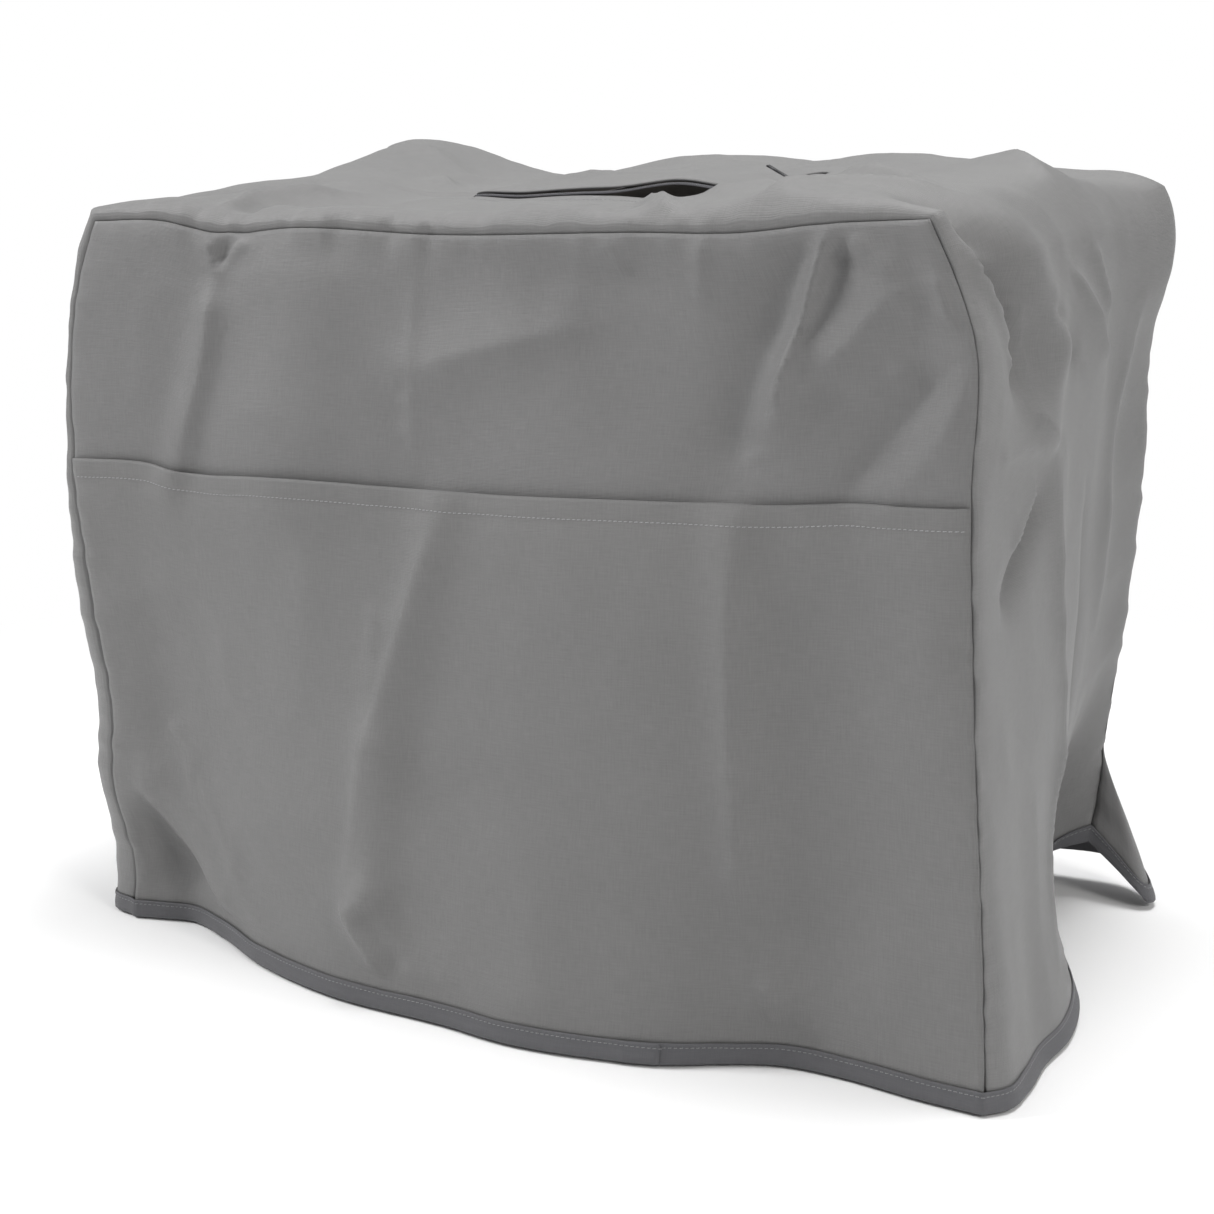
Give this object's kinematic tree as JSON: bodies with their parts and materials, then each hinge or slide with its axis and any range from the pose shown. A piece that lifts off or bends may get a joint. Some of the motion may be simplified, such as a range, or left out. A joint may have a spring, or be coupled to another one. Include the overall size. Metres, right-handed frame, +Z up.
{
  "type": "welding machine cover",
  "caption": "Loose open-bottomed cloth cover for a boxy machine, with a full-width front pocket, a zipped handle slit in the top and a bound hem.",
  "frame": {"origin": "bottom centre of the box round the cover, on the surface that the hem touches", "axes": "+X to the right seen from the front, +Y from the pocket side to the back, +Z up"},
  "size_m": [0.6452, 0.4458, 0.4903],
  "materials": {
    "cloth_front": "coated oxford weave, soft sheen",
    "cloth_pocket": "coated oxford weave, soft sheen",
    "cloth_back": "coated oxford weave, soft sheen",
    "cloth_strip": "coated oxford weave, soft sheen",
    "binding": "matt ribbed tape",
    "zip_tape": "matt woven tape",
    "slider_metal": "satin"
  },
  "bodies": {
    "root": {"front_panel": "cloth_front", "front_pocket": "cloth_pocket", "back_panel": "cloth_back", "side_top_strip": "cloth_strip", "hem_binding": "binding", "zip_tape_front": "zip_tape", "zip_tape_back": "zip_tape", "zip_slider": "slider_metal", "zip_pull": "slider_metal"}
  },
  "joints": []
}
